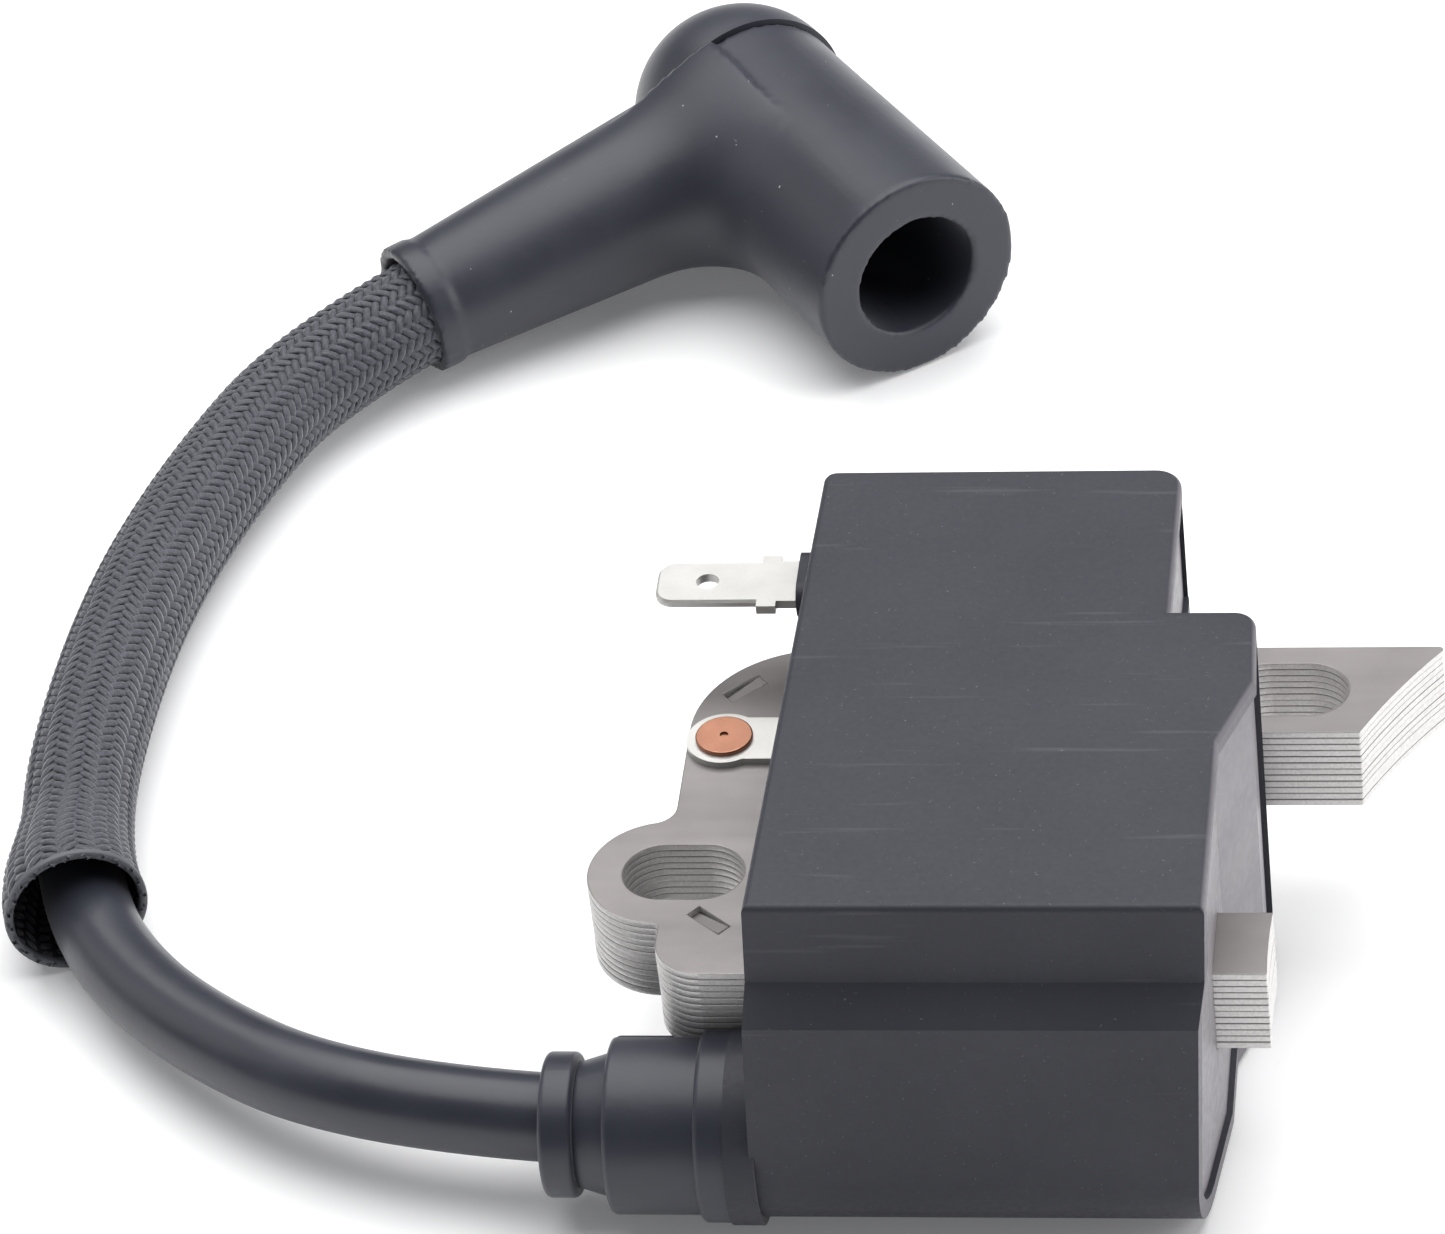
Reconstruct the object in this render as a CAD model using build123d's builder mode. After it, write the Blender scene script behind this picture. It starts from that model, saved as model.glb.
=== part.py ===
from build123d import *
import os
from math import cos, degrees, radians, sin, sqrt, tan

# Ignition coil of a small petrol engine, lying on a bench.
# Frame: millimetres, +Z up, Z = 0 is the bench. The origin is below the middle of the
# module's box (core, housing and spade tab). +X points at the flywheel, +Y away from the
# front of the housing, and the high-tension lead leaves the housing along -X.

os.makedirs("parts", exist_ok=True)


def save(part, name):
    """Name a finished piece and write it to its own STEP file."""
    part.label = name
    export_step(part, f"parts/{name}.step")


# ---------------------------------------------------------------------------
# Driving dimensions
# ---------------------------------------------------------------------------

# Flywheel that the two pole faces follow
flywheel_radius = 61.2
flywheel_x = 82.3
flywheel_y = -14.8

# Laminated core: a U of 12 plates
lamination_count = 12
lamination_thickness = 0.65
core_bottom = 12.8
yoke_left = -27.3
yoke_width = 8.4
near_leg_front = -17.3
near_leg_width = 7.3
far_leg_front = 12.0
far_leg_width = 10.9
yoke_front_corner = 3.8
yoke_rear_corner = 10.2
leg_inner_corner = 0.6
far_tip_corner = 0.4

# Mounting slots for M6 screws, and the ear round the left one
slot_length = 9.85
slot_width = 6.6
ear_slot_left = -30.85
ear_slot_y = -5.05
ear_wall = 2.85
ear_blend = 2.0
far_slot_right = 26.2
interlock_length = 3.6
interlock_width = 1.3
interlock_turn = 41.0
interlock_x = -23.25
interlock_front_y = -10.9
interlock_rear_y = 17.9

# Housing shell
housing_top = 34.6
housing_bottom = 0.7
housing_wall = 1.5
housing_front = -25.5
housing_rear = 28.9
housing_left_front = -18.0
housing_left_rear = -16.5
housing_left_lean = 1.7
housing_right = 17.4
rear_right = 12.8
tooth_right = 20.0
tooth_rear_right = 19.6
tooth_rear = 10.4
tooth_front = 1.6
tooth_chamfer_front = -5.7
belly_front = -28.2
belly_radius = 7.2
ramp_top = 27.0
ramp_bottom = 24.5
core_gap = 0.3
edge_round = 0.55
rear_right_round = 2.2
rear_left_round = 1.1
tooth_round = 1.8
potting_recess = 0.5

# Three points of the facet that trims the front right corner of the housing
facet_side = (housing_right, -20.0, 20.0)
facet_top = (housing_right, housing_front, housing_top)
facet_low = (15.8, belly_front, 8.0)

# High-tension lead, its grommet and the socket that holds them
lead_diameter = 7.2
lead_axis_y = -21.0
lead_axis_z = 7.9
socket_radius = 7.9
socket_overlap = 0.3
socket_end = -21.3
socket_bore = 5.6
grommet_fit = 0.1
grommet_plug = 5.0
flange_radius = 7.7
flange_thickness = 2.4
grommet_body_radius = 7.1
grommet_body_length = 7.3
grommet_neck_radius = 5.4
grommet_neck_length = 2.6
grommet_ring_radius = 5.8
grommet_ring_length = 2.7
grommet_rim_round = 0.5
grommet_relief = 0.2

# Braided sleeve over the lead
sleeve_clearance = 0.35
sleeve_wall = 0.9
sleeve_in_boot = 4.0

# Plug boot: an elbow of a tapered arm and a bore
boot_arm_length = 37.9
boot_arm_end_radius = 5.9
boot_arm_root_radius = 8.6
boot_lip_radius = 6.2
boot_lip_length = 2.3
boot_bore_length = 27.6
boot_radius = 10.1
boot_waist_radius = 9.7
boot_bore_radius = 5.85
boot_bore_depth = 15.5
boot_chamber_radius = 4.7
boot_chamber_depth = 13.7
boot_clearance = 0.3
boot_arm_start = 9.0
boot_back = 3.4
cap_skirt = 0.9
cap_radius = 10.15

# Spark plug terminal inside the boot
spring_wire = 1.0
spring_radius = 3.6
spring_turns = 5
spring_pitch = 2.2
spring_lift = 0.6
spike_gap = 0.3
spike_radius = 0.9
spike_in_lead = 6.0

# Windings round the near leg
leg_clearance = 0.15
bobbin_wall = 0.9
bobbin_left = -15.0
bobbin_length = 29.0
bobbin_flange = 1.0
primary_thickness = 1.5
secondary_gap = 0.2
secondary_wall = 0.9
secondary_chambers = 5
secondary_rib = 0.8
secondary_depth = 2.4
secondary_fill = 1.9

# Control electronics
board_thickness = 1.2
board_lift = 1.2
board_left = -13.5
board_right = 10.8
board_front = -1.6
board_rear = 26.4
lead_wire_radius = 0.45

# Ground strap, its rivet and the stop-switch tab
strap_thickness = 0.6
strap_width = 5.2
strap_end_radius = 3.1
rivet_x = -24.2
rivet_y = 10.8
rivet_head_radius = 2.35
rivet_head_height = 0.4
rivet_shank_radius = 1.6
rivet_dimple_radius = 0.35
tab_width = 5.2
tab_thickness = 0.8
tab_tip = -30.4
tab_y = 22.7
tab_z = 27.6
tab_hole_radius = 0.95
tab_hole_from_tip = 4.2
tab_barb = 0.7
boss_reach = 1.6
boss_height = 3.2
boss_margin = 0.6
wall_pass_fit = 0.05
wire_hole_fit = 0.05

# Route of the high-tension lead, chosen by hand: out of the socket along -X, down to the
# bench, round to the left and back, and into the arm of the plug boot.
lead_route = [
    (-18.0, lead_axis_y, lead_axis_z),
    (-48.6, lead_axis_y, lead_axis_z),
    (-73.6, -3.2, 4.9),
    (-82.4, 16.2, 5.0),
    (-82.4, 43.0, 4.95),
    (-78.2, 64.0, 5.0),
    (-69.7, 84.4, 5.5),
    (-51.8, 97.05, 7.7),
]

# ---------------------------------------------------------------------------
# Sizes worked out from the driving dimensions
# ---------------------------------------------------------------------------

stack_height = lamination_count * lamination_thickness
core_top = core_bottom + stack_height
near_leg_y = near_leg_front + near_leg_width / 2
near_leg_z = core_bottom + stack_height / 2
far_leg_rear = far_leg_front + far_leg_width
far_leg_y = far_leg_front + far_leg_width / 2
yoke_right = yoke_left + yoke_width
ear_slot_x = ear_slot_left + slot_length / 2
far_slot_x = far_slot_right - slot_length / 2
ear_centre_x = ear_slot_left + slot_width / 2
ear_radius = slot_width / 2 + ear_wall
bridge_bottom = core_top + core_gap
board_bottom = bridge_bottom + housing_wall + board_lift
lead_radius = lead_diameter / 2
sleeve_radius = lead_radius + sleeve_clearance + sleeve_wall
far_reach = flywheel_x
strap_right = board_left - 0.2
ground_wire_x = strap_right - 1.0
ground_wire_y = rivet_y + 1.2


def left_face(y, z):
    """X of the housing's left face, which tapers along Y and leans outwards below."""
    share = (y - housing_front) / (housing_rear - housing_front)
    top_x = housing_left_front + share * (housing_left_rear - housing_left_front)
    return top_x - housing_left_lean * (housing_top - z) / housing_top


# ---------------------------------------------------------------------------
# Laminated core
# ---------------------------------------------------------------------------

with BuildSketch() as core_outline:
    with BuildLine():
        Polyline(
            (yoke_left, near_leg_front),
            (far_reach, near_leg_front),
            (far_reach, near_leg_front + near_leg_width),
            (yoke_right, near_leg_front + near_leg_width),
            (yoke_right, far_leg_front),
            (far_reach, far_leg_front),
            (far_reach, far_leg_rear),
            (yoke_left, far_leg_rear),
            close=True,
        )
    make_face()
    with Locations((flywheel_x, flywheel_y)):
        Circle(flywheel_radius, mode=Mode.SUBTRACT)
    with Locations((ear_centre_x, ear_slot_y)):
        Circle(ear_radius)
    corners = core_outline.vertices()
    fillet(corners.sort_by_distance((yoke_left, near_leg_front))[0], yoke_front_corner)
    corners = core_outline.vertices()
    fillet(corners.sort_by_distance((yoke_left, far_leg_rear))[0], yoke_rear_corner)
    for leg_edge in (near_leg_front + near_leg_width, far_leg_front):
        corners = core_outline.vertices()
        fillet(corners.sort_by_distance((yoke_right, leg_edge))[0], leg_inner_corner)
    ear_half = sqrt(ear_radius**2 - (yoke_left - ear_centre_x) ** 2)
    for side in (-1, 1):
        corners = core_outline.vertices()
        fillet(
            corners.sort_by_distance((yoke_left, ear_slot_y + side * ear_half))[0],
            ear_blend if side > 0 else ear_blend / 4,
        )
    far_tip_x = flywheel_x - sqrt(flywheel_radius**2 - (far_leg_rear - flywheel_y) ** 2)
    corners = core_outline.vertices()
    fillet(corners.sort_by_distance((far_tip_x, far_leg_rear))[0], far_tip_corner)
    with Locations((ear_slot_x, ear_slot_y), (far_slot_x, far_leg_y)):
        SlotOverall(slot_length, slot_width, mode=Mode.SUBTRACT)
    with Locations((rivet_x, rivet_y)):
        Circle(rivet_shank_radius, mode=Mode.SUBTRACT)
    with Locations(
        Location((interlock_x, interlock_front_y), -interlock_turn),
        Location((interlock_x, interlock_rear_y), interlock_turn),
    ):
        Rectangle(interlock_length, interlock_width, mode=Mode.SUBTRACT)

for index in range(lamination_count):
    with BuildPart() as lamination:
        with BuildSketch(Plane.XY.offset(core_bottom + index * lamination_thickness)):
            add(core_outline.sketch)
        extrude(amount=lamination_thickness)
    save(lamination.part, f"lamination_{index + 1:02d}")

# ---------------------------------------------------------------------------
# Housing shell: one side profile, trimmed by one plan outline
# ---------------------------------------------------------------------------


def side_profile(inset):
    """Closed side outline of the housing in Y and Z, drawn inside by the inset."""
    belly_low = lead_axis_z - belly_radius + inset
    with BuildSketch() as profile:
        with BuildLine():
            Polyline(
                (lead_axis_y, belly_low),
                (tooth_rear - inset, belly_low),
                (tooth_rear - inset, bridge_bottom + inset),
                (housing_rear - inset, bridge_bottom + inset),
                (housing_rear - inset, housing_top - inset),
                (housing_front + inset, housing_top - inset),
                (housing_front + inset, ramp_top + inset / 2),
                (belly_front + inset, ramp_bottom + inset / 2),
                (belly_front + inset, lead_axis_z),
            )
            RadiusArc(
                (belly_front + inset, lead_axis_z),
                (lead_axis_y, belly_low),
                -(belly_radius - inset),
            )
        make_face()
    return profile.sketch


def plan_outline(right_inset):
    """Closed plan outline of the housing, with the open right side drawn in."""
    with BuildSketch() as plan:
        with BuildLine():
            Polyline(
                (left_face(housing_front, 0), belly_front - 1),
                (housing_right - right_inset, belly_front - 1),
                (housing_right - right_inset, tooth_chamfer_front),
                (tooth_right - right_inset, tooth_front),
                (tooth_rear_right - right_inset, tooth_rear),
                (rear_right - right_inset, tooth_rear),
                (rear_right - right_inset, housing_rear + 1),
                (left_face(housing_rear, 0), housing_rear + 1),
                close=True,
            )
        make_face()
    return plan.sketch


def plan_cavity(inset, right_end):
    """Plan of the hollow: inside the left wall, in front of the tooth's rear wall."""
    with BuildSketch() as plan:
        with BuildLine():
            Polyline(
                (left_face(housing_front, 0) + inset, belly_front),
                (right_end, belly_front),
                (right_end, tooth_rear - inset),
                (rear_right - inset, tooth_rear - inset),
                (rear_right - inset, tooth_rear),
                (right_end, tooth_rear),
                (right_end, housing_rear),
                (left_face(housing_rear, 0) + inset, housing_rear),
                close=True,
            )
        make_face()
    return plan.sketch


def left_plane(inset):
    """Plane of the housing's left face, moved inside by the inset."""
    along = Vector(housing_left_rear - housing_left_front, housing_rear - housing_front, 0)
    down = Vector(-housing_left_lean, 0, -housing_top)
    inwards = down.cross(along).normalized()
    corner = Vector(housing_left_front, housing_front, housing_top)
    return Plane(origin=corner + inwards * inset, z_dir=inwards)


def front_right_trim(inset):
    """Sliver outside the facet at the front right corner, for cutting away."""
    side = Vector(*facet_side)
    outwards = (Vector(*facet_top) - side).cross(Vector(*facet_low) - side).normalized()
    with BuildPart() as trim:
        with BuildSketch():
            with Locations((housing_right, tooth_chamfer_front)):
                Rectangle(housing_right, housing_right * 2, align=(Align.CENTER, Align.MAX))
        extrude(amount=housing_top)
        split(bisect_by=Plane(origin=side - outwards * inset, z_dir=outwards), keep=Keep.TOP)
    return trim.part


open_end = tooth_right + 2 * housing_wall

with BuildPart() as cavity:
    with BuildSketch(Plane.YZ.offset(housing_left_front * 2)):
        add(side_profile(housing_wall))
    extrude(amount=open_end - housing_left_front * 2)
    with BuildSketch():
        add(plan_cavity(housing_wall, open_end))
    extrude(amount=housing_top, mode=Mode.INTERSECT)
    split(bisect_by=left_plane(housing_wall), keep=Keep.TOP)

with BuildPart() as housing_shell:
    with BuildSketch(Plane.YZ.offset(housing_left_front * 2)):
        add(side_profile(0))
    extrude(amount=open_end - housing_left_front * 2)
    with BuildSketch():
        add(plan_outline(0))
    extrude(amount=housing_top, mode=Mode.INTERSECT)
    split(bisect_by=left_plane(0), keep=Keep.TOP)
    add(front_right_trim(0), mode=Mode.SUBTRACT)
    middle_z = (bridge_bottom + housing_top) / 2
    for corner_x, corner_y, corner_round in (
        (rear_right, housing_rear, rear_right_round),
        (tooth_rear_right, tooth_rear, tooth_round),
        (left_face(housing_rear, middle_z), housing_rear, rear_left_round),
    ):
        upright = housing_shell.edges().sort_by_distance((corner_x, corner_y, middle_z))
        fillet(upright[0], corner_round)
    top_edges = housing_shell.faces().sort_by(Axis.Z)[-1].outer_wire().edges()
    fillet(top_edges, edge_round)
    # Socket for the lead grommet on the left of the belly
    with BuildSketch(Plane.YZ.offset(socket_end)):
        with Locations((lead_axis_y, lead_axis_z)):
            Circle(socket_radius)
    extrude(amount=left_face(lead_axis_y, lead_axis_z) + socket_overlap - socket_end)
    # Boss round the stop-switch tab
    with BuildSketch(Plane.YZ.offset(left_face(tab_y, tab_z) - boss_reach)):
        with Locations((tab_y, tab_z)):
            RectangleRounded(tab_width + 2 * boss_margin, boss_height, boss_height / 2 - 0.1)
    extrude(amount=boss_reach + housing_wall / 2)
    add(cavity.part, mode=Mode.SUBTRACT)
    # Bore of the lead socket
    with BuildSketch(Plane.YZ.offset(socket_end)):
        with Locations((lead_axis_y, lead_axis_z)):
            Circle(socket_bore)
    extrude(amount=board_left - socket_end, mode=Mode.SUBTRACT)
    # Passage for the near leg through the left wall
    with BuildSketch(Plane.YZ.offset(socket_end)):
        with Locations((near_leg_y, near_leg_z)):
            Rectangle(near_leg_width + 2 * leg_clearance, stack_height + 2 * leg_clearance)
    extrude(amount=housing_wall + 4, mode=Mode.SUBTRACT)
    # Passage for the ground strap, just above the core
    with BuildSketch(Plane.YZ.offset(socket_end)):
        with Locations((rivet_y, core_top + strap_thickness / 2)):
            Rectangle(
                strap_width + 2 * wall_pass_fit, strap_thickness + 2 * wall_pass_fit
            )
    extrude(amount=board_left - socket_end, mode=Mode.SUBTRACT)
    # Hole for the ground wire, up through the floor above the far leg
    with BuildSketch(Plane.XY.offset(core_top)):
        with Locations((ground_wire_x, ground_wire_y)):
            Circle(lead_wire_radius + wire_hole_fit)
    extrude(amount=3 * housing_wall, mode=Mode.SUBTRACT)
    # Passage for the stop-switch tab
    with BuildSketch(Plane.YZ.offset(left_face(tab_y, tab_z) - boss_reach)):
        with Locations((tab_y, tab_z)):
            Rectangle(tab_width + 2 * wall_pass_fit, tab_thickness + 2 * wall_pass_fit)
    extrude(amount=boss_reach + housing_wall + 1, mode=Mode.SUBTRACT)
save(housing_shell.part, "housing_shell")

# ---------------------------------------------------------------------------
# Windings round the near leg, from the inside out
# ---------------------------------------------------------------------------

tube_y = near_leg_width + 2 * leg_clearance
tube_z = stack_height + 2 * leg_clearance
primary_core_y = tube_y + 2 * bobbin_wall
primary_core_z = tube_z + 2 * bobbin_wall
primary_out_y = primary_core_y + 2 * primary_thickness
primary_out_z = primary_core_z + 2 * primary_thickness
secondary_in_y = primary_out_y + 2 * secondary_gap
secondary_in_z = primary_out_z + 2 * secondary_gap
secondary_core_y = secondary_in_y + 2 * secondary_wall
secondary_core_z = secondary_in_z + 2 * secondary_wall
bobbin_right = bobbin_left + bobbin_length
leg_axis = (near_leg_y, near_leg_z)


def ring_on_leg(start, length, outer_y, outer_z, inner_y, inner_z, corner):
    """Rounded rectangular ring round the near leg, from one X along +X."""
    with BuildPart() as ring:
        with BuildSketch(Plane.YZ.offset(start)):
            with Locations(leg_axis):
                RectangleRounded(outer_y, outer_z, corner)
                Rectangle(inner_y, inner_z, mode=Mode.SUBTRACT)
        extrude(amount=length)
    return ring.part


with BuildPart() as primary_bobbin:
    add(
        ring_on_leg(
            bobbin_left, bobbin_length, primary_core_y, primary_core_z, tube_y, tube_z, 0.6
        )
    )
    for flange_start in (bobbin_left, bobbin_right - bobbin_flange):
        add(
            ring_on_leg(
                flange_start,
                bobbin_flange,
                primary_out_y,
                primary_out_z,
                tube_y,
                tube_z,
                0.6,
            )
        )
save(primary_bobbin.part, "primary_bobbin")

with BuildPart() as primary_winding:
    add(
        ring_on_leg(
            bobbin_left + bobbin_flange,
            bobbin_length - 2 * bobbin_flange,
            primary_out_y,
            primary_out_z,
            tube_y,
            tube_z,
            1.4,
        )
    )
    add(primary_bobbin.part, mode=Mode.SUBTRACT)
save(primary_winding.part, "primary_winding")

chamber_pitch = (bobbin_length - secondary_rib) / secondary_chambers
with BuildPart() as secondary_bobbin:
    add(
        ring_on_leg(
            bobbin_left,
            bobbin_length,
            secondary_core_y,
            secondary_core_z,
            secondary_in_y,
            secondary_in_z,
            1.2,
        )
    )
    for rib in range(secondary_chambers + 1):
        add(
            ring_on_leg(
                bobbin_left + rib * chamber_pitch,
                secondary_rib,
                secondary_core_y + 2 * secondary_depth,
                secondary_core_z + 2 * secondary_depth,
                secondary_in_y,
                secondary_in_z,
                2.0,
            )
        )
save(secondary_bobbin.part, "secondary_bobbin")

with BuildPart() as secondary_winding:
    for chamber in range(secondary_chambers):
        add(
            ring_on_leg(
                bobbin_left + chamber * chamber_pitch + secondary_rib,
                chamber_pitch - secondary_rib,
                secondary_core_y + 2 * secondary_fill,
                secondary_core_z + 2 * secondary_fill,
                secondary_in_y,
                secondary_in_z,
                1.8,
            )
        )
    add(secondary_bobbin.part, mode=Mode.SUBTRACT)
save(secondary_winding.part, "secondary_winding")

# ---------------------------------------------------------------------------
# Control electronics on a board above the far leg
# ---------------------------------------------------------------------------

board_top = board_bottom + board_thickness

with BuildPart() as circuit_board:
    with BuildSketch(Plane.XY.offset(board_bottom)):
        with Locations(((board_left + board_right) / 2, (board_front + board_rear) / 2)):
            RectangleRounded(board_right - board_left, board_rear - board_front, 1.0)
    extrude(amount=board_thickness)
save(circuit_board.part, "circuit_board")


def body_on_board(x, y, size_x, size_y, height, corner):
    """A moulded component body standing on the board."""
    with BuildPart() as body:
        with BuildSketch(Plane.XY.offset(board_top)):
            with Locations((x, y)):
                Rectangle(size_x, size_y)
        extrude(amount=height)
        fillet(body.edges().filter_by(Axis.Z), corner)
    return body.part


def can_along_x(x, y, radius, length):
    """A round component body lying on the board along X."""
    with BuildPart() as body:
        with BuildSketch(Plane.YZ.offset(x - length / 2)):
            with Locations((y, board_top + radius)):
                Circle(radius)
        extrude(amount=length)
    return body.part


power_transistor = body_on_board(4.5, 19.5, 8.0, 10.5, 2.9, 0.5)
save(power_transistor, "power_transistor")
control_transistor = body_on_board(-9.0, 21.5, 4.6, 3.6, 4.6, 0.9)
save(control_transistor, "control_transistor")
filter_capacitor = body_on_board(-6.5, 7.0, 9.0, 4.6, 6.6, 1.0)
save(filter_capacitor, "filter_capacitor")
protection_diode = can_along_x(4.0, 9.5, 1.35, 5.2)
save(protection_diode, "protection_diode")
with BuildPart() as resistors:
    for row in range(3):
        add(can_along_x(-4.5 + row * 0.5, 14.5 + row * 3.6, 0.95, 3.6))
save(resistors.part, "resistors")

# ---------------------------------------------------------------------------
# Ground strap, rivet and stop-switch tab
# ---------------------------------------------------------------------------

with BuildPart() as ground_strap:
    with BuildSketch(Plane.XY.offset(core_top)):
        with Locations((rivet_x, rivet_y)):
            Circle(strap_end_radius)
        with Locations(((rivet_x + strap_right) / 2, rivet_y)):
            Rectangle(strap_right - rivet_x, strap_width)
        with Locations((rivet_x, rivet_y)):
            Circle(rivet_shank_radius, mode=Mode.SUBTRACT)
    extrude(amount=strap_thickness)
save(ground_strap.part, "ground_strap")

with BuildPart() as ground_rivet:
    rivet_top = core_top + strap_thickness
    with BuildSketch(Plane.XY.offset(core_bottom - rivet_head_height)):
        with Locations((rivet_x, rivet_y)):
            Circle(rivet_head_radius)
    extrude(amount=rivet_head_height)
    with BuildSketch(Plane.XY.offset(core_bottom)):
        with Locations((rivet_x, rivet_y)):
            Circle(rivet_shank_radius)
    extrude(amount=rivet_top - core_bottom)
    with BuildSketch(Plane.XY.offset(rivet_top)):
        with Locations((rivet_x, rivet_y)):
            Circle(rivet_head_radius)
    extrude(amount=rivet_head_height)
    fillet(ground_rivet.edges().group_by(Axis.Z)[-1], rivet_head_height / 3)
    with BuildSketch(Plane.XY.offset(rivet_top + rivet_head_height)):
        with Locations((rivet_x, rivet_y)):
            Circle(rivet_dimple_radius)
    extrude(amount=-rivet_head_height / 2, mode=Mode.SUBTRACT)
save(ground_rivet.part, "ground_rivet")

tab_inner = left_face(tab_y, tab_z) + housing_wall + 1
barb_right = left_face(tab_y, tab_z) - boss_reach - 1.7
with BuildPart() as kill_tab:
    with BuildSketch(Plane.XY.offset(tab_z - tab_thickness / 2)):
        with Locations(((tab_tip + tab_inner) / 2, tab_y)):
            Rectangle(tab_inner - tab_tip, tab_width)
        with Locations((barb_right - 0.8, tab_y)):
            Rectangle(1.6, tab_width + 2 * tab_barb)
        with Locations((tab_tip + tab_hole_from_tip, tab_y)):
            Circle(tab_hole_radius, mode=Mode.SUBTRACT)
    extrude(amount=tab_thickness)
    tip_edges = kill_tab.edges().filter_by(Axis.Z).group_by(Axis.X)[0]
    fillet(tip_edges, tab_width / 3.4)
    tip_face = kill_tab.faces().sort_by(Axis.X)[0]
    chamfer(tip_face.edges().filter_by(Axis.Y), tab_thickness / 4)
save(kill_tab.part, "kill_tab")

# ---------------------------------------------------------------------------
# Small wires inside the housing
# ---------------------------------------------------------------------------


def wire(points, bend):
    """Insulated hook-up wire along straight runs with rounded bends."""
    with BuildPart() as strand:
        with BuildLine() as path:
            FilletPolyline(*points, radius=bend)
        with BuildSketch(Plane(origin=path.line @ 0, z_dir=path.line % 0)):
            Circle(lead_wire_radius)
        sweep()
    return strand.part


primary_wire_y = near_leg_y + primary_out_y / 2 - primary_thickness / 2
primary_wire_z = near_leg_z + secondary_core_z / 2 + secondary_depth + lead_wire_radius + 0.4
wire_x = bobbin_right + 1.0
primary_lead_wire = wire(
    [
        (bobbin_right, primary_wire_y, near_leg_z + primary_core_z / 2),
        (wire_x, primary_wire_y, near_leg_z + primary_core_z / 2),
        (wire_x, primary_wire_y, primary_wire_z),
        (board_right - 2.0, primary_wire_y, primary_wire_z),
        (board_right - 2.0, board_front + 1.0, primary_wire_z),
        (board_right - 2.0, board_front + 1.0, board_top),
    ],
    0.45,
)
save(primary_lead_wire, "primary_lead_wire")

ground_lead_wire = wire(
    [
        (ground_wire_x, ground_wire_y, core_top + strap_thickness),
        (ground_wire_x, ground_wire_y, board_top + lead_wire_radius + 0.8),
        (board_left + 1.4, ground_wire_y, board_top + lead_wire_radius + 0.8),
        (board_left + 1.4, ground_wire_y, board_top),
    ],
    0.45,
)
save(ground_lead_wire, "ground_lead_wire")

kill_lead_wire = wire(
    [
        (tab_inner, tab_y + 1.2, tab_z),
        (board_left + 1.4, tab_y + 1.2, tab_z),
        (board_left + 1.4, tab_y + 1.2, board_top),
    ],
    0.45,
)
save(kill_lead_wire, "kill_lead_wire")

# ---------------------------------------------------------------------------
# High-tension lead and sleeve
# ---------------------------------------------------------------------------

route = [Vector(*point) for point in lead_route]
bend_radii = []
for before, corner, after in zip(route, route[1:], route[2:]):
    turn = radians((corner - before).get_angle(after - corner))
    shorter = min((corner - before).length, (after - corner).length)
    bend_radii.append(0.45 * shorter / tan(turn / 2))
print("lead bend radii:", [round(radius, 1) for radius in bend_radii])

with BuildLine() as lead_path:
    FilletPolyline(*route, radius=bend_radii)
lead_wire = lead_path.wires()[0]
lead_edges = lead_wire.order_edges()

arm_direction = (route[-1] - route[-2]).normalized()
boot_arm_end = route[-2] + arm_direction * boot_arm_start
boot_elbow = boot_arm_end + arm_direction * boot_arm_length
bore_direction = Vector(arm_direction.Y, -arm_direction.X, 0).normalized()
arm_outwards = arm_direction * -1
boot_plane = Plane(
    origin=boot_elbow, x_dir=bore_direction, z_dir=bore_direction.cross(arm_outwards)
)
print("boot elbow at", boot_elbow, "arm", arm_direction, "bore", bore_direction)

with BuildPart() as ht_lead:
    with BuildSketch(Plane(origin=lead_wire @ 0, z_dir=lead_wire % 0)):
        Circle(lead_radius)
    sweep(path=lead_wire)
    # Socket in each end of the conductor for the two contact spikes
    with BuildSketch(Plane(origin=lead_wire @ 0, z_dir=lead_wire % 0)):
        Circle(spike_radius)
    extrude(amount=spike_in_lead, mode=Mode.SUBTRACT)
    with BuildSketch(Plane(origin=lead_wire @ 1, z_dir=arm_outwards)):
        Circle(spike_radius)
    extrude(amount=spike_in_lead, mode=Mode.SUBTRACT)
save(ht_lead.part, "ht_lead")
print("lead length %.1f, volume %.0f" % (lead_wire.length, ht_lead.part.volume))

# The sleeve starts with the fourth bend and ends just inside the boot
sleeve_end = boot_arm_end + arm_direction * sleeve_in_boot
with BuildLine() as sleeve_path:
    add(lead_edges[5:-1])
    Line(lead_edges[-1] @ 0, sleeve_end)
sleeve_wire = sleeve_path.wires()[0]
with BuildPart() as braided_sleeve:
    with BuildSketch(Plane(origin=sleeve_wire @ 0, z_dir=sleeve_wire % 0)):
        Circle(sleeve_radius)
        Circle(sleeve_radius - sleeve_wall, mode=Mode.SUBTRACT)
    sweep(path=sleeve_wire)
save(braided_sleeve.part, "braided_sleeve")
print("sleeve length %.1f, volume %.0f" % (sleeve_wire.length, braided_sleeve.part.volume))

# ---------------------------------------------------------------------------
# Lead grommet: plug, flange, body, neck and end ring, along the lead axis
# ---------------------------------------------------------------------------

flange_start = socket_end
flange_end = flange_start - flange_thickness
body_end = flange_end - grommet_body_length
neck_end = body_end - grommet_neck_length
ring_end = neck_end - grommet_ring_length
plug_end = flange_start + grommet_plug
grommet_plane = Plane(origin=(0, lead_axis_y, lead_axis_z), x_dir=(1, 0, 0), z_dir=(0, -1, 0))
lead_axis = Axis((0, lead_axis_y, lead_axis_z), (1, 0, 0))

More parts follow.
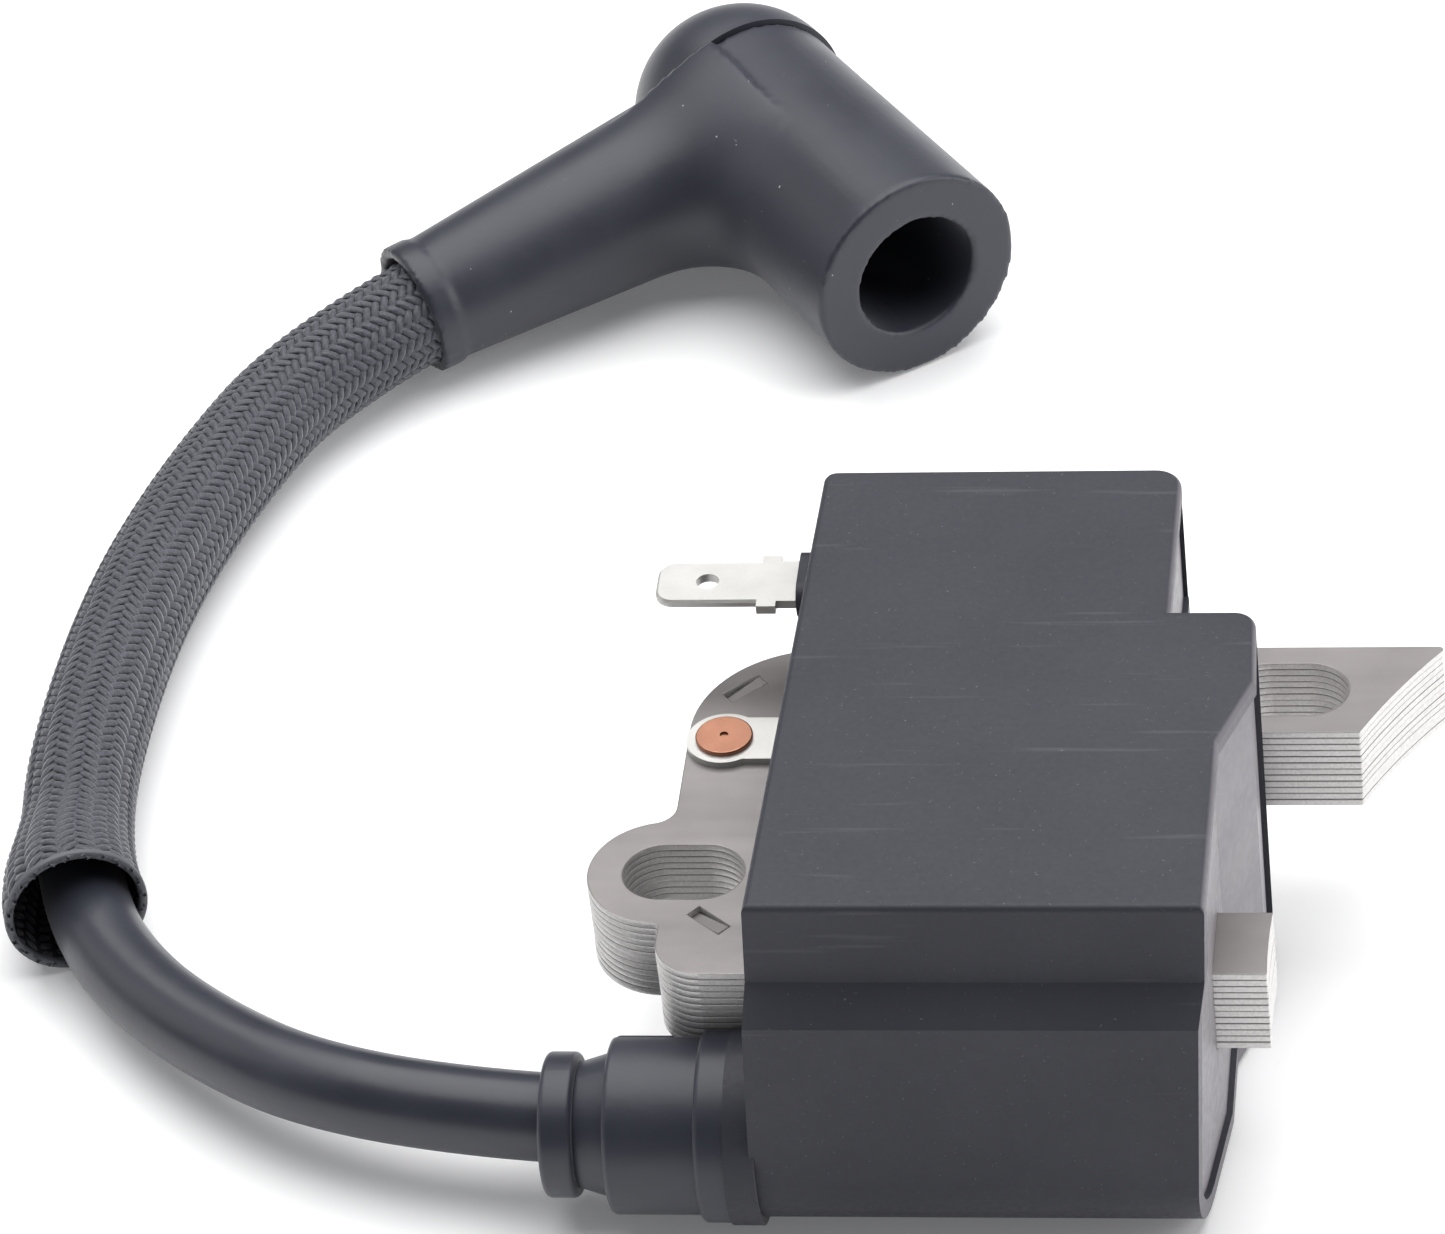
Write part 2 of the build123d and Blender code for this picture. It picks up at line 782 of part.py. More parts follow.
with BuildPart() as lead_grommet:
    with BuildSketch(grommet_plane) as grommet_profile:
        with BuildLine():
            Polyline(
                (plug_end, lead_radius),
                (plug_end, socket_bore - grommet_fit),
                (flange_start, socket_bore - grommet_fit),
                (flange_start, flange_radius),
                (flange_end, flange_radius),
                (flange_end, grommet_body_radius),
                (body_end, grommet_body_radius),
                (body_end, grommet_neck_radius + 0.4),
                (neck_end, grommet_neck_radius - 0.4),
                (neck_end, grommet_ring_radius),
                (ring_end, grommet_ring_radius),
                (ring_end, lead_radius),
                close=True,
            )
        make_face()
        for rim in (
            (flange_end, flange_radius),
            (body_end, grommet_body_radius),
            (neck_end, grommet_ring_radius),
            (ring_end, grommet_ring_radius),
        ):
            corners = grommet_profile.vertices()
            fillet(corners.sort_by_distance(rim)[0], grommet_rim_round)
    revolve(axis=lead_axis)
    # Relief that clears the front edge of the core
    with BuildSketch(Plane.XY.offset(core_bottom - grommet_relief)):
        with Locations(((body_end + flange_start) / 2, near_leg_y - grommet_relief)):
            Rectangle(2 * (flange_start - body_end), near_leg_width)
    extrude(amount=stack_height, mode=Mode.SUBTRACT)
save(lead_grommet.part, "lead_grommet")

# Contact pin from the last chamber of the secondary winding into the lead
with BuildPart() as ht_contact_pin:
    with BuildSketch(Plane.YZ.offset(lead_route[0][0] - spike_in_lead)):
        with Locations((lead_axis_y, lead_axis_z)):
            Circle(spike_radius)
    extrude(amount=bobbin_left - lead_route[0][0] + spike_in_lead)
save(ht_contact_pin.part, "ht_contact_pin")

# ---------------------------------------------------------------------------
# Potting compound: what is left of the hollow round everything inside
# ---------------------------------------------------------------------------

with BuildPart() as potting_compound:
    add(cavity.part)
    with BuildSketch():
        add(plan_outline(potting_recess))
    extrude(amount=housing_top, mode=Mode.INTERSECT)
    add(front_right_trim(potting_recess), mode=Mode.SUBTRACT)
    with BuildSketch(Plane.YZ.offset(bobbin_left - 2 * housing_wall)):
        with Locations(leg_axis):
            Rectangle(tube_y, tube_z)
    extrude(amount=open_end - bobbin_left, mode=Mode.SUBTRACT)
    for potted in (
        primary_bobbin.part,
        primary_winding.part,
        secondary_bobbin.part,
        secondary_winding.part,
        circuit_board.part,
        power_transistor,
        control_transistor,
        filter_capacitor,
        protection_diode,
        resistors.part,
        primary_lead_wire,
        ground_lead_wire,
        kill_lead_wire,
        ground_strap.part,
        kill_tab.part,
        ht_contact_pin.part,
        lead_grommet.part,
    ):
        add(potted, mode=Mode.SUBTRACT)
save(potting_compound.part, "potting_compound")

# ---------------------------------------------------------------------------
# Plug boot, its end cap and the spark plug terminal
# ---------------------------------------------------------------------------

bore_axis = Axis(boot_elbow, bore_direction)
arm_axis = Axis(boot_elbow, arm_outwards)
arm_profile_plane = Plane(origin=boot_elbow, x_dir=arm_outwards, z_dir=boot_plane.z_dir)

chamber_mouth = boot_bore_length - boot_bore_depth
chamber_end = chamber_mouth - boot_chamber_depth

with BuildPart() as boot_arm:
    with BuildSketch(arm_profile_plane):
        with BuildLine():
            Polyline(
                (0, 0),
                (boot_arm_length, 0),
                (boot_arm_length, boot_lip_radius),
                (boot_arm_length - boot_lip_length, boot_lip_radius),
                (boot_arm_length - boot_lip_length, boot_arm_end_radius),
                (0, boot_arm_root_radius),
                close=True,
            )
        make_face()
    revolve(axis=arm_axis)

with BuildPart() as plug_boot:
    with BuildSketch(boot_plane):
        with BuildLine():
            Polyline(
                (-boot_back, 0),
                (boot_bore_length, 0),
                (boot_bore_length, boot_radius),
                (0, boot_waist_radius),
                (-boot_back, boot_waist_radius),
                close=True,
            )
        make_face()
    revolve(axis=bore_axis)
    add(boot_arm.part)
    # Bore for the spark plug, with a narrower chamber behind it for the terminal spring
    with BuildSketch(boot_plane):
        with BuildLine():
            Polyline(
                (chamber_end, 0),
                (boot_bore_length, 0),
                (boot_bore_length, boot_bore_radius),
                (chamber_mouth, boot_bore_radius),
                (chamber_mouth, boot_chamber_radius),
                (chamber_end, boot_chamber_radius),
                close=True,
            )
        make_face()
    revolve(axis=bore_axis, mode=Mode.SUBTRACT)
    # Bore for the lead, with a wider mouth for the sleeve
    mouth_depth = sleeve_in_boot + boot_clearance
    with BuildSketch(arm_profile_plane):
        with BuildLine():
            Polyline(
                (0, 0),
                (boot_arm_length, 0),
                (boot_arm_length, sleeve_radius + boot_clearance),
                (boot_arm_length - mouth_depth, sleeve_radius + boot_clearance),
                (boot_arm_length - mouth_depth, lead_radius + boot_clearance),
                (0, lead_radius + boot_clearance),
                close=True,
            )
        make_face()
    revolve(axis=arm_axis, mode=Mode.SUBTRACT)
save(plug_boot.part, "plug_boot")

# Dome that closes the back of the elbow, notched round the root of the arm
cap_rim = -boot_back - cap_skirt
with BuildPart() as boot_cap:
    with BuildSketch(boot_plane):
        with BuildLine():
            Polyline(
                (cap_rim - cap_radius, 0),
                (-boot_back, 0),
                (-boot_back, cap_radius),
                (cap_rim, cap_radius),
            )
            CenterArc((cap_rim, 0), cap_radius, 90, 90)
        make_face()
    revolve(axis=bore_axis)
    add(boot_arm.part, mode=Mode.SUBTRACT)
save(boot_cap.part, "boot_cap")

# Coil spring that grips the top of the spark plug
spring_length = spring_turns * spring_pitch
spring_start = boot_elbow + bore_direction * (chamber_end + spring_wire / 2 + spring_lift)
with BuildPart() as terminal_spring:
    with BuildLine() as coil:
        Helix(
            pitch=spring_pitch,
            height=spring_length,
            radius=spring_radius,
            center=spring_start,
            direction=bore_direction,
        )
    with BuildSketch(Plane(origin=coil.line @ 0, z_dir=coil.line % 0)):
        Circle(spring_wire / 2)
    sweep(is_frenet=True)
save(terminal_spring.part, "terminal_spring")

# Spike that joins the spring to the lead's conductor
lead_end = route[-1]
spike_start = lead_end - arm_direction * spike_in_lead
spring_outside = spring_radius + spring_wire / 2
spike_reach = (boot_elbow - spike_start).length - spring_outside - spike_gap
with BuildPart() as terminal_spike:
    with BuildSketch(Plane(origin=spike_start, z_dir=arm_direction)):
        Circle(spike_radius)
    extrude(amount=spike_reach)
save(terminal_spike.part, "terminal_spike")
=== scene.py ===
# %% [markdown]
# # The ignition coil of a small petrol engine
# A coil like this bolts beside the flywheel of a chainsaw or a mower. Magnets in the flywheel
# rim pass the two steel pole faces, and the windings inside the black housing turn that pulse
# into the spark, which leaves through the thick lead and the rubber plug boot.
# The engineering model is already made. This lesson loads it as a fixed frame and gives every
# part the surface that a person would see and feel. Everything is in metres.

import math

import bmesh
import bpy
import numpy as np
from mathutils import Matrix, Vector


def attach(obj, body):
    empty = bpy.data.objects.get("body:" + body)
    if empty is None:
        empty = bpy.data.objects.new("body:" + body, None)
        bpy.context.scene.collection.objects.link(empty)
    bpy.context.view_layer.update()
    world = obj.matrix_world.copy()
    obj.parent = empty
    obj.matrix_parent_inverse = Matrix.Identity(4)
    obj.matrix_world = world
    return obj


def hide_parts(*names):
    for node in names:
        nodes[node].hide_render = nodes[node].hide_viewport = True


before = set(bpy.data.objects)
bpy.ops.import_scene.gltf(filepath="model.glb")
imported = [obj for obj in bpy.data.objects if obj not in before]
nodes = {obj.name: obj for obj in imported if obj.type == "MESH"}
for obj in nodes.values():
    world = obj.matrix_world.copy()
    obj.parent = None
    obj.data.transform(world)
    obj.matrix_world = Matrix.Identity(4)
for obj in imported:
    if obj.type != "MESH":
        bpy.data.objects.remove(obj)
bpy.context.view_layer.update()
MM = 0.001

# %% [markdown]
# ## Where the camera stands
# A camera is placed by saying what it looks at, from how far, from how high and how far round.
# A long lens from more than half a metre keeps parallel edges nearly parallel, as in a catalogue
# shot. The camera was held a little crooked, so a small roll is added at the end.

# %% Camera
LOOK_AT = Vector((-20.6, -4.0, 45.8)) * MM
DISTANCE = 582.3 * MM
ELEVATION = math.radians(38.5)
AROUND = math.radians(10.0)
ROLL = math.radians(6.6)
LENS = 186.85

across = Vector((math.cos(AROUND), math.sin(AROUND), 0))
back = Vector(
    (
        math.sin(AROUND) * math.cos(ELEVATION),
        -math.cos(AROUND) * math.cos(ELEVATION),
        math.sin(ELEVATION),
    )
)
upward = back.cross(across)
right_side = across * math.cos(ROLL) - upward * math.sin(ROLL)
top_side = across * math.sin(ROLL) + upward * math.cos(ROLL)
stand = Matrix((right_side, top_side, back)).transposed().to_4x4()
stand.translation = LOOK_AT + back * DISTANCE

camera_data = bpy.data.cameras.new("camera")
camera_data.lens = LENS
camera_data.sensor_width = 36
camera_data.clip_start = 0.05
camera = bpy.data.objects.new("camera", camera_data)
camera.matrix_world = stand
bpy.context.scene.collection.objects.link(camera)
bpy.context.scene.camera = camera
print("camera at", camera.matrix_world.translation)

# %% [markdown]
# ## The table and the light
# Small black parts are usually shot on a pale sweep under one very large, soft light. The floor
# is a light table that glows a little, so it throws light back up under every round part and
# draws the pale line along the lower edge of the lead. The light is a big square panel above and a little
# behind, one weak panel on the right for the metal, and a dim even sky for the rest.

# %% Floor, lights and sky
def add_light(name, place, aim, size, power, tint=(1, 1, 1)):
    """A square soft panel that points from one place at another."""
    data = bpy.data.lights.new(name, "AREA")
    data.shape = "SQUARE"
    data.size = size
    data.energy = power
    data.color = tint
    lamp = bpy.data.objects.new(name, data)
    lamp.location = place
    lamp.rotation_euler = (Vector(aim) - Vector(place)).to_track_quat("-Z", "Y").to_euler()
    bpy.context.scene.collection.objects.link(lamp)
    return lamp


middle = Vector((-0.02, 0.03, 0.0))
add_light("top_panel", (-0.05, 0.35, 1.1), middle, 1.5, 25.0)
add_light("right_panel", (1.0, 0.1, 0.45), middle, 0.8, 7.0)
add_light("left_panel", (-1.1, 0.2, 0.6), middle, 0.7, 2.0)

sky = bpy.data.worlds.new("even_sky")
sky.use_nodes = True
sky.node_tree.nodes["Background"].inputs["Color"].default_value = (0.93, 0.96, 1.0, 1)
sky.node_tree.nodes["Background"].inputs["Strength"].default_value = 0.1
bpy.context.scene.world = sky
bpy.context.scene.view_settings.view_transform = "Standard"

floor_mesh = bpy.data.meshes.new("table_top")
floor_mesh.from_pydata(
    [(-3, -3, 0), (3, -3, 0), (3, 3, 0), (-3, 3, 0)], [], [(0, 1, 2, 3)]
)
table_top = bpy.data.objects.new("table_top", floor_mesh)
bpy.context.scene.collection.objects.link(table_top)

# %% [markdown]
# ## A small kit for materials
# Every finish here is a Principled shader with two or three helpers in front of it: a noise that
# varies the colour a little, and a noise that becomes tiny bumps. The noises read Object
# coordinates, so they are sized in real millimetres and stay on the part when it is turned.

# %% Material helpers
def start_material(name, color, roughness, metallic=0.0):
    """A new node material, its tree and its Principled shader."""
    material = bpy.data.materials.new(name)
    material.use_nodes = True
    material.diffuse_color = (*color, 1)
    tree = material.node_tree
    shader = tree.nodes["Principled BSDF"]
    shader.inputs["Base Color"].default_value = (*color, 1)
    shader.inputs["Roughness"].default_value = roughness
    shader.inputs["Metallic"].default_value = metallic
    return material, tree, shader


def object_place(tree):
    """The Object coordinate output, in metres on the part."""
    if "place" not in tree.nodes:
        tree.nodes.new("ShaderNodeTexCoord").name = "place"
    return tree.nodes["place"].outputs["Object"]


def add_noise(tree, grain_mm, detail=3.0, stretch=(1, 1, 1)):
    """A noise whose blotches are about grain_mm across."""
    mapping = tree.nodes.new("ShaderNodeMapping")
    mapping.inputs["Scale"].default_value = stretch
    noise = tree.nodes.new("ShaderNodeTexNoise")
    noise.inputs["Scale"].default_value = 1000.0 / grain_mm
    noise.inputs["Detail"].default_value = detail
    tree.links.new(object_place(tree), mapping.inputs["Vector"])
    tree.links.new(mapping.outputs["Vector"], noise.inputs["Vector"])
    return noise.outputs["Fac"]


def blend_colors(tree, factor, dark, light, low=0.3, high=0.7):
    """Turns a 0-1 factor into a colour between two."""
    ramp = tree.nodes.new("ShaderNodeValToRGB")
    ramp.color_ramp.elements[0].position = low
    ramp.color_ramp.elements[0].color = (*dark, 1)
    ramp.color_ramp.elements[1].position = high
    ramp.color_ramp.elements[1].color = (*light, 1)
    tree.links.new(factor, ramp.inputs["Fac"])
    return ramp.outputs["Color"]


def vary_number(tree, factor, low, high):
    """Spreads a 0-1 factor over a range of roughness or other numbers."""
    spread = tree.nodes.new("ShaderNodeMapRange")
    spread.inputs["From Min"].default_value = 0.3
    spread.inputs["From Max"].default_value = 0.7
    spread.inputs["To Min"].default_value = low
    spread.inputs["To Max"].default_value = high
    tree.links.new(factor, spread.inputs["Value"])
    return spread.outputs["Result"]


def add_bump(tree, shader, height, depth_mm, strength=1.0):
    """Bumps of a real depth, chained in front of any bump already there."""
    bump = tree.nodes.new("ShaderNodeBump")
    bump.inputs["Strength"].default_value = strength
    bump.inputs["Distance"].default_value = depth_mm * MM
    tree.links.new(height, bump.inputs["Height"])
    if shader.inputs["Normal"].is_linked:
        tree.links.new(shader.inputs["Normal"].links[0].from_socket, bump.inputs["Normal"])
    tree.links.new(bump.outputs["Normal"], shader.inputs["Normal"])
    return bump


table_finish, tree, shader = start_material("table_paper", (0.93, 0.93, 0.93), 0.9)
table_tone = add_noise(tree, 60)
tree.links.new(
    blend_colors(tree, table_tone, (0.92, 0.92, 0.92), (0.94, 0.94, 0.94)),
    shader.inputs["Base Color"],
)
shader.inputs["Emission Color"].default_value = (0.97, 0.98, 1.0, 1)
shader.inputs["Emission Strength"].default_value = 0.12
table_top.data.materials.append(table_finish)
print("helpers ready")

# %% [markdown]
# ## Black moulded plastic
# The housing is glass-filled nylon: nearly black with a breath of blue, matt, and covered in
# the fine grain of a spark-eroded mould. A fine noise gives the grain, a second one the pale
# specks of handling dust, a stretched one faint scuffs, and a slow one keeps the sheen uneven.
# The rim of the open side faces +X; faces that point that way are painted paler, a painted reflection of the
# bright surroundings seen edge-on.

# %% Housing finish
def make_housing_finish():
    material, tree, shader = start_material("moulded_housing", (0.036, 0.039, 0.047), 0.5)
    shader.inputs["Specular IOR Level"].default_value = 0.26
    slow = add_noise(tree, 14, 4)
    fine = add_noise(tree, 0.5, 6)
    scratches = add_noise(tree, 1.1, 2, (0.06, 1, 1))
    specks = add_noise(tree, 0.28, 2)
    base = blend_colors(tree, slow, (0.033, 0.034, 0.044), (0.041, 0.042, 0.053))
    lift = blend_colors(tree, specks, (0, 0, 0), (0.10, 0.10, 0.105), 0.70, 0.82)
    add = tree.nodes.new("ShaderNodeMix")
    add.data_type = "RGBA"
    add.blend_type = "ADD"
    add.inputs["Factor"].default_value = 1.0
    tree.links.new(base, add.inputs["A"])
    tree.links.new(lift, add.inputs["B"])
    rubbed = tree.nodes.new("ShaderNodeMix")
    rubbed.data_type = "RGBA"
    rubbed.blend_type = "ADD"
    rubbed.inputs["Factor"].default_value = 1.0
    scuff = blend_colors(tree, scratches, (0, 0, 0), (0.02, 0.02, 0.021), 0.66, 0.74)
    tree.links.new(add.outputs["Result"], rubbed.inputs["A"])
    tree.links.new(scuff, rubbed.inputs["B"])
    # Painted reflection: faces that point along +X are mixed towards a paler colour, standing in for the
    # bright surroundings seen edge-on.
    facing = tree.nodes.new("ShaderNodeSeparateXYZ")
    tree.links.new(tree.nodes["place"].outputs["Normal"], facing.inputs[0])
    painted_reflection_mix = tree.nodes.new("ShaderNodeMix")
    painted_reflection_mix.data_type = "RGBA"
    tree.links.new(vary_number(tree, facing.outputs["X"], 0.0, 1.0), painted_reflection_mix.inputs["Factor"])
    painted_reflection_color = blend_colors(tree, slow, (0.10, 0.095, 0.11), (0.16, 0.15, 0.165))
    tree.links.new(rubbed.outputs["Result"], painted_reflection_mix.inputs["A"])
    tree.links.new(painted_reflection_color, painted_reflection_mix.inputs["B"])
    tree.links.new(painted_reflection_mix.outputs["Result"], shader.inputs["Base Color"])
    tree.links.new(vary_number(tree, fine, 0.42, 0.56), shader.inputs["Roughness"])
    add_bump(tree, shader, fine, 0.012, 0.6)
    return material


housing_finish = make_housing_finish()

# %% [markdown]
# ## Potting compound
# The open side of the housing is filled with cast resin. It sets dead flat, with faint swirls
# and a soft purple-grey colour, and it picks up the light when seen edge-on.

# %% Resin finish
def make_resin_finish():
    material, tree, shader = start_material("cast_resin", (0.2, 0.19, 0.205), 0.45)
    swirl = add_noise(tree, 7, 5, (1, 0.6, 1))
    grain = add_noise(tree, 0.9, 4)
    tree.links.new(
        blend_colors(tree, swirl, (0.17, 0.16, 0.18), (0.225, 0.21, 0.228)),
        shader.inputs["Base Color"],
    )
    tree.links.new(vary_number(tree, grain, 0.36, 0.5), shader.inputs["Roughness"])
    add_bump(tree, shader, swirl, 0.08)
    add_bump(tree, shader, grain, 0.01)
    return material


resin_finish = make_resin_finish()

# %% [markdown]
# ## Rubber
# The boot, the grommet and the lead's jacket are black rubber. New rubber has a satin bloom: a
# broad, soft highlight instead of a mirror. A little sheen on the shader brightens it towards
# the edges, and specks of white dust stick to it, as they always do.

# %% Rubber finishes
def make_rubber_finish(name, color, roughness, dust):
    material, tree, shader = start_material(name, color, roughness)
    shader.inputs["Sheen Weight"].default_value = 0.12
    shader.inputs["Sheen Roughness"].default_value = 0.45
    slow = add_noise(tree, 9, 4)
    fine = add_noise(tree, 0.6, 5)
    flecks = add_noise(tree, 0.45, 1)
    tone = blend_colors(tree, slow, [0.86 * c for c in color], [1.14 * c for c in color])
    fleck_color = blend_colors(tree, flecks, (0, 0, 0), (0.5, 0.5, 0.52), dust, dust + 0.03)
    add = tree.nodes.new("ShaderNodeMix")
    add.data_type = "RGBA"
    add.blend_type = "ADD"
    add.inputs["Factor"].default_value = 1.0
    tree.links.new(tone, add.inputs["A"])
    tree.links.new(fleck_color, add.inputs["B"])
    tree.links.new(add.outputs["Result"], shader.inputs["Base Color"])
    tree.links.new(
        vary_number(tree, slow, roughness - 0.06, roughness + 0.06), shader.inputs["Roughness"]
    )
    add_bump(tree, shader, slow, 0.12, 0.6)
    add_bump(tree, shader, fine, 0.012)
    return material


boot_rubber = make_rubber_finish("boot_rubber", (0.026, 0.028, 0.041), 0.44, 0.80)
grommet_rubber = make_rubber_finish("grommet_rubber", (0.023, 0.025, 0.038), 0.42, 0.84)
lead_jacket = make_rubber_finish("lead_jacket", (0.027, 0.029, 0.042), 0.36, 0.9)

# %% [markdown]
# ## Steel sheet, tin and copper
# The core is stacked from stamped electrical steel: warm grey, dull, with a hint of the rolling
# direction. Its flat faces are coloured darker and its side faces much brighter, picked by the way
# each face points. The tab and the strap are tinned, so they are much paler. The rivet is copper.
# Metals are the Principled shader with Metallic turned up, and most of their look is roughness.

# %% Metal finishes
def make_core_finish():
    material, tree, shader = start_material("electrical_steel", (0.36, 0.345, 0.335), 0.5, 0.6)
    rolled = add_noise(tree, 1.4, 4, (0.12, 1, 1))
    slow = add_noise(tree, 11, 4)
    grain = add_noise(tree, 0.25, 3)
    faces = blend_colors(tree, slow, (0.205, 0.192, 0.189), (0.262, 0.246, 0.241))
    edges = blend_colors(tree, grain, (0.62, 0.605, 0.595), (0.76, 0.74, 0.73))
    # Flat faces take the darker colour and side faces the brighter one, picked by the way each face points.
    facing = tree.nodes.new("ShaderNodeSeparateXYZ")
    tree.links.new(tree.nodes["place"].outputs["Normal"], facing.inputs[0])
    flatness = tree.nodes.new("ShaderNodeMath")
    flatness.operation = "ABSOLUTE"
    tree.links.new(facing.outputs["Z"], flatness.inputs[0])
    facing_mix = tree.nodes.new("ShaderNodeMix")
    facing_mix.data_type = "RGBA"
    tree.links.new(vary_number(tree, flatness.outputs[0], 1.0, 0.0), facing_mix.inputs["Factor"])
    tree.links.new(faces, facing_mix.inputs["A"])
    tree.links.new(edges, facing_mix.inputs["B"])
    tree.links.new(facing_mix.outputs["Result"], shader.inputs["Base Color"])
    tree.links.new(vary_number(tree, rolled, 0.38, 0.52), shader.inputs["Roughness"])
    add_bump(tree, shader, rolled, 0.012)
    add_bump(tree, shader, grain, 0.008)
    return material


def make_metal_finish(name, color, roughness, metallic=1.0, stain=0.9):
    material, tree, shader = start_material(name, color, roughness, metallic)
    slow = add_noise(tree, 3, 4)
    grain = add_noise(tree, 0.3, 3)
    tree.links.new(
        blend_colors(tree, slow, [stain * c for c in color], color),
        shader.inputs["Base Color"],
    )
    tree.links.new(
        vary_number(tree, grain, roughness - 0.07, roughness + 0.07), shader.inputs["Roughness"]
    )
    add_bump(tree, shader, grain, 0.01)
    return material


core_finish = make_core_finish()
tin_finish = make_metal_finish("tinned_sheet", (0.56, 0.55, 0.53), 0.4, 0.6, 0.9)
copper_finish = make_metal_finish("copper", (0.36, 0.175, 0.115), 0.34, 1.0, 0.8)
spring_finish = make_metal_finish("spring_wire", (0.6, 0.6, 0.62), 0.3)
brass_finish = make_metal_finish("brass", (0.80, 0.60, 0.28), 0.3)
winding_finish = make_metal_finish("enamelled_wire", (0.55, 0.22, 0.09), 0.35, 0.8)

# %% [markdown]
# ## The parts under the resin
# Nobody sees the bobbins, windings and components without sawing the housing open, but each one
# still gets an honest finish, so that a cutaway drawing could be made from this file.

# %% Finishes of the sealed parts
def make_plastic_finish(name, color, roughness):
    material, tree, shader = start_material(name, color, roughness)
    slow = add_noise(tree, 4, 3)
    grain = add_noise(tree, 0.4, 3)
    tree.links.new(
        blend_colors(tree, slow, [0.88 * c for c in color], color), shader.inputs["Base Color"]
    )
    tree.links.new(
        vary_number(tree, grain, roughness - 0.05, roughness + 0.05), shader.inputs["Roughness"]
    )
    add_bump(tree, shader, grain, 0.01)
    return material


def dress(node_names, material):
    """Puts a finish on CAD parts as they stand."""
    for node_name in node_names:
        slots = nodes[node_name].data.materials
        slots.clear()
        slots.append(material)


dress(["primary_bobbin", "secondary_bobbin"], make_plastic_finish("bobbin", (0.7, 0.66, 0.55), 0.45))
dress(["circuit_board"], make_plastic_finish("board", (0.04, 0.2, 0.09), 0.3))
dress(
    ["power_transistor", "control_transistor", "protection_diode"],
    make_plastic_finish("black_component", (0.03, 0.03, 0.033), 0.4),
)
dress(["filter_capacitor"], make_plastic_finish("dipped_capacitor", (0.35, 0.08, 0.05), 0.25))
dress(["resistors"], make_plastic_finish("resistor_body", (0.6, 0.46, 0.3), 0.35))
dress(["primary_lead_wire"], make_plastic_finish("red_wire", (0.4, 0.04, 0.03), 0.35))
dress(
    ["ground_lead_wire", "kill_lead_wire"],
    make_plastic_finish("black_wire", (0.03, 0.03, 0.03), 0.35),
)
dress(["primary_winding", "secondary_winding"], winding_finish)
dress(["ht_contact_pin", "terminal_spike"], brass_finish)
dress(["terminal_spring"], spring_finish)
dress(["potting_compound"], resin_finish)
dress([name for name in nodes if name.startswith("lamination")], core_finish)
dress(["housing_shell"], housing_finish)
dress(["ground_rivet"], copper_finish)
dress(["ground_strap", "kill_tab"], tin_finish)
dress(["plug_boot", "boot_cap"], boot_rubber)
dress(["lead_grommet"], grommet_rubber)
print("finishes made:", len(bpy.data.materials))

# %% [markdown]
# ## A small kit for node groups
# Anything that repeats is built by Geometry Nodes. These helpers keep the groups readable: one
# adds a named input, two write arithmetic, and the last runs a group and keeps plain mesh.

# %% Node helpers
def group_input(tree, name, kind, value=None):
    """A named input of a node group."""
    socket = tree.interface.new_socket(name, in_out="INPUT", socket_type=kind)
    if value is not None:
        socket.default_value = value
    return socket


def math_node(tree, operation, *values):
    """A Math node fed by numbers or sockets; returns its result."""
    node = tree.nodes.new("ShaderNodeMath")
    node.operation = operation
    for slot, value in zip(node.inputs, values):
        if isinstance(value, (int, float)):
            slot.default_value = value
        else:
            tree.links.new(value, slot)
    return node.outputs[0]


def vector_node(tree, operation, *values, scale=None):
    """A Vector Math node; scale feeds the Scale socket."""
    node = tree.nodes.new("ShaderNodeVectorMath")
    node.operation = operation
    for slot, value in zip(node.inputs, values):
        if isinstance(value, tuple):
            slot.default_value = value
        else:
            tree.links.new(value, slot)
    if scale is not None:
        if isinstance(scale, (int, float)):
            node.inputs["Scale"].default_value = scale
        else:
            tree.links.new(scale, node.inputs["Scale"])
    return node.outputs[0]


def run_group(host, tree, settings, name):
    """Runs a node group on an object and returns the result as a plain mesh object."""
    modifier = host.modifiers.new(tree.name, "NODES")
    modifier.node_group = tree
    for item in tree.interface.items_tree:
        if item.item_type == "SOCKET" and item.in_out == "INPUT" and item.name in settings:
            modifier[item.identifier] = settings[item.name]
    host.update_tag()
    bpy.context.view_layer.update()
    evaluated = host.evaluated_get(bpy.context.evaluated_depsgraph_get())
    mesh = bpy.data.meshes.new_from_object(evaluated)
    mesh.name = name
    made = bpy.data.objects.new(name, mesh)
    bpy.context.scene.collection.objects.link(made)
    bpy.data.objects.remove(host)
    return made


print("node helpers ready")

# %% [markdown]
# ## Twelve laminations
# One plate is enough. Its edges are bevelled by a tenth of a millimetre, as a punch leaves them,
# and a small node group stacks twelve copies with a few hundredths of a millimetre of play. The
# bevels and the play are what make a stack read as a stack. Two lanced tabs near the corners
# lock the plates together; on the top plate they show as short ramps.

# %% Stack the core
PLATE = 0.65 * MM
PLATES = 12
CORE_TOP = 20.6 * MM
RAMPS = ((-23.25, 17.9, 41.0), (-23.25, -10.9, -41.0))
RAMP_ENDS = ((-1.76, 0.55), (1.7, 0.03))
RAMP_SIDES = (-0.6, 0.44)
RAMP_THICKNESS = 0.6


def tidy_copy(node_name, name):
    """A copy of a CAD part in the shared frame with its flat faces joined up again."""
    source = nodes[node_name]
    sheet = bmesh.new()
    sheet.from_mesh(source.data)
    sheet.transform(source.matrix_world)
    bmesh.ops.remove_doubles(sheet, verts=sheet.verts, dist=0.002 * MM)
    bmesh.ops.dissolve_limit(
        sheet, angle_limit=math.radians(0.6), verts=sheet.verts, edges=sheet.edges
    )
    mesh = bpy.data.meshes.new(name)
    sheet.to_mesh(mesh)
    sheet.free()
    made = bpy.data.objects.new(name, mesh)
    bpy.context.scene.collection.objects.link(made)
    return made


